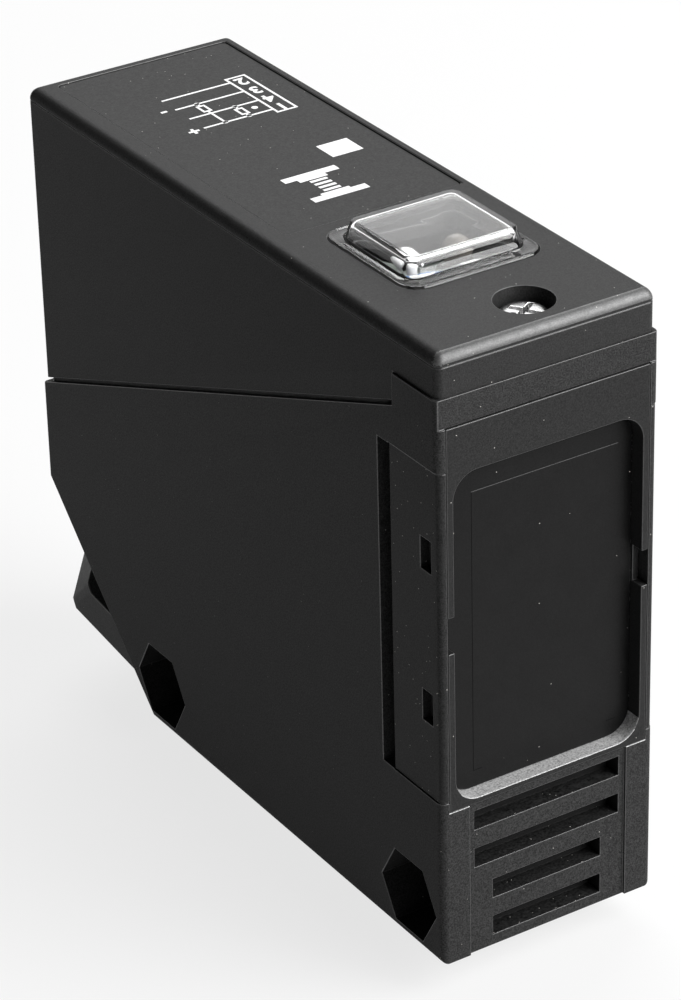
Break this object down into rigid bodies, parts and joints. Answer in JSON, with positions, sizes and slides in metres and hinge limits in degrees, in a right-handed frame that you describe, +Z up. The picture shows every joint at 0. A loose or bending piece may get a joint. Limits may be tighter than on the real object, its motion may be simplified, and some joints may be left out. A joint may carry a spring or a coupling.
{
  "type": "photoelectric sensor",
  "caption": "Block-shaped photoelectric sensor with a dark front window, a wedge-shaped terminal lid with a clear hood, side mounting holes and an angled cable gland.",
  "frame": {"origin": "middle of the line between the two M5 mounting holes, on the centre plane of the housing", "axes": "+X from the left side to the right side along the mounting holes, +Y from the optical face to the back, +Z up to the lid"},
  "size_m": [0.0258, 0.0826, 0.0741],
  "materials": {
    "black_housing_plastic": "fine spark-eroded texture",
    "black_cover_plastic": "fine spark-eroded texture",
    "black_frame_plastic": "fine spark-eroded texture",
    "black_lid_plastic": "fine spark-eroded texture",
    "black_gland_plastic": "satin nylon",
    "black_optics_plastic": "dull black",
    "dark_filter_pane": "satin dark infrared filter",
    "black_rubber": "matt",
    "clear_optic": "polished clear acrylic",
    "clear_hood": "polished clear polycarbonate",
    "clear_resin": "clear cast resin",
    "dark_resin": "moulded epoxy",
    "green_board": "solder mask",
    "zinc_steel": "bright zinc plated",
    "nickel_steel": "bright nickel plated",
    "capacitor_can": "sleeved can",
    "grey_deck_plastic": "fine texture",
    "tinned_brass": "tinned",
    "brass": "turned",
    "white_led": "diffuse resin",
    "amber_led": "diffuse resin",
    "blue_trimmer": "moulded",
    "white_rotor": "moulded",
    "grey_terminal_plastic": "moulded polyamide",
    "printed_label": "black foil with plain white printing",
    "nylon": "natural nylon"
  },
  "bodies": {
    "housing": {"housing": "black_housing_plastic", "front_cover": "black_cover_plastic", "snap_frame": "black_frame_plastic", "window_pane": "dark_filter_pane", "pane_seal": "black_rubber", "receiver_lens": "clear_optic", "emitter_lens": "clear_optic", "optics_block": "black_optics_plastic", "optics_board": "green_board", "board_screws": "zinc_steel", "emitter_led": "clear_resin", "photodiode": "dark_resin", "main_board": "green_board", "board_chips": "dark_resin", "smoothing_capacitor": "capacitor_can", "terminal_board": "green_board", "deck_plate": "grey_deck_plastic", "display_board": "green_board", "display_pins": "tinned_brass", "power_led": "white_led", "switching_led": "amber_led", "potentiometer": "blue_trimmer", "mode_switch": "dark_resin", "terminal_block": "grey_terminal_plastic", "contact_strips": "tinned_brass", "thread_insert": "brass", "lid_gasket": "black_rubber", "gland_body": "black_gland_plastic", "gland_o_ring": "black_rubber", "gland_grommet": "black_rubber"},
    "lid": {"lid": "black_lid_plastic", "hood_window": "clear_hood", "label_plate": "printed_label", "screw_retainer": "nylon"},
    "lid_screw": {"lid_screw": "nickel_steel"},
    "sensitivity_rotor": {"sensitivity_rotor": "white_rotor"},
    "mode_slider": {"mode_slider": "white_rotor"},
    "gland_nut": {"gland_nut": "black_gland_plastic"},
    "terminal_screw_1": {"terminal_screw_1": "zinc_steel"},
    "wire_cage_1": {"wire_cage_1": "zinc_steel"},
    "terminal_screw_2": {"terminal_screw_2": "zinc_steel"},
    "wire_cage_2": {"wire_cage_2": "zinc_steel"},
    "terminal_screw_3": {"terminal_screw_3": "zinc_steel"},
    "wire_cage_3": {"wire_cage_3": "zinc_steel"},
    "terminal_screw_4": {"terminal_screw_4": "zinc_steel"},
    "wire_cage_4": {"wire_cage_4": "zinc_steel"}
  },
  "joints": [
    {"name": "lid_lift", "type": "slide", "parent": "housing", "child": "lid", "axis": [0, 0, 1], "range_m": [0, 0.05]},
    {"name": "lid_screw_turn", "type": "hinge", "parent": "lid", "child": "lid_screw", "pos_m": [0.0009, -0.025, 0.05945], "axis": [0, 0, 1], "continuous": true},
    {"name": "sensitivity_turn", "type": "hinge", "parent": "housing", "child": "sensitivity_rotor", "pos_m": [-0.0026, -0.0129, 0.05955], "axis": [0, 0, -1], "range_deg": [0, 270]},
    {"name": "mode_slide", "type": "slide", "parent": "housing", "child": "mode_slider", "axis": [1, 0, 0], "range_m": [0, 0.002]},
    {"name": "gland_nut_turn", "type": "hinge", "parent": "housing", "child": "gland_nut", "pos_m": [0, 0.03766, 0.00551], "axis": [0, 0.7071, -0.7071], "continuous": true},
    {"name": "terminal_screw_1_turn", "type": "hinge", "parent": "housing", "child": "terminal_screw_1", "pos_m": [-0.0072, 0.0241, 0.03075], "axis": [0, 0, -1], "range_deg": [0, 1440]},
    {"name": "wire_cage_1_rise", "type": "slide", "parent": "housing", "child": "wire_cage_1", "axis": [0, 0, 1], "range_m": [0, 0.002]},
    {"name": "terminal_screw_2_turn", "type": "hinge", "parent": "housing", "child": "terminal_screw_2", "pos_m": [-0.0024, 0.0241, 0.03075], "axis": [0, 0, -1], "range_deg": [0, 1440]},
    {"name": "wire_cage_2_rise", "type": "slide", "parent": "housing", "child": "wire_cage_2", "axis": [0, 0, 1], "range_m": [0, 0.002]},
    {"name": "terminal_screw_3_turn", "type": "hinge", "parent": "housing", "child": "terminal_screw_3", "pos_m": [0.0024, 0.0241, 0.03075], "axis": [0, 0, -1], "range_deg": [0, 1440]},
    {"name": "wire_cage_3_rise", "type": "slide", "parent": "housing", "child": "wire_cage_3", "axis": [0, 0, 1], "range_m": [0, 0.002]},
    {"name": "terminal_screw_4_turn", "type": "hinge", "parent": "housing", "child": "terminal_screw_4", "pos_m": [0.0072, 0.0241, 0.03075], "axis": [0, 0, -1], "range_deg": [0, 1440]},
    {"name": "wire_cage_4_rise", "type": "slide", "parent": "housing", "child": "wire_cage_4", "axis": [0, 0, 1], "range_m": [0, 0.002]}
  ],
  "couplings": [
    {"joint": "terminal_screw_1_turn", "follows": "wire_cage_1_rise", "rad_per_m": 12504},
    {"joint": "terminal_screw_2_turn", "follows": "wire_cage_2_rise", "rad_per_m": 12504},
    {"joint": "terminal_screw_3_turn", "follows": "wire_cage_3_rise", "rad_per_m": 12504},
    {"joint": "terminal_screw_4_turn", "follows": "wire_cage_4_rise", "rad_per_m": 12504}
  ]
}
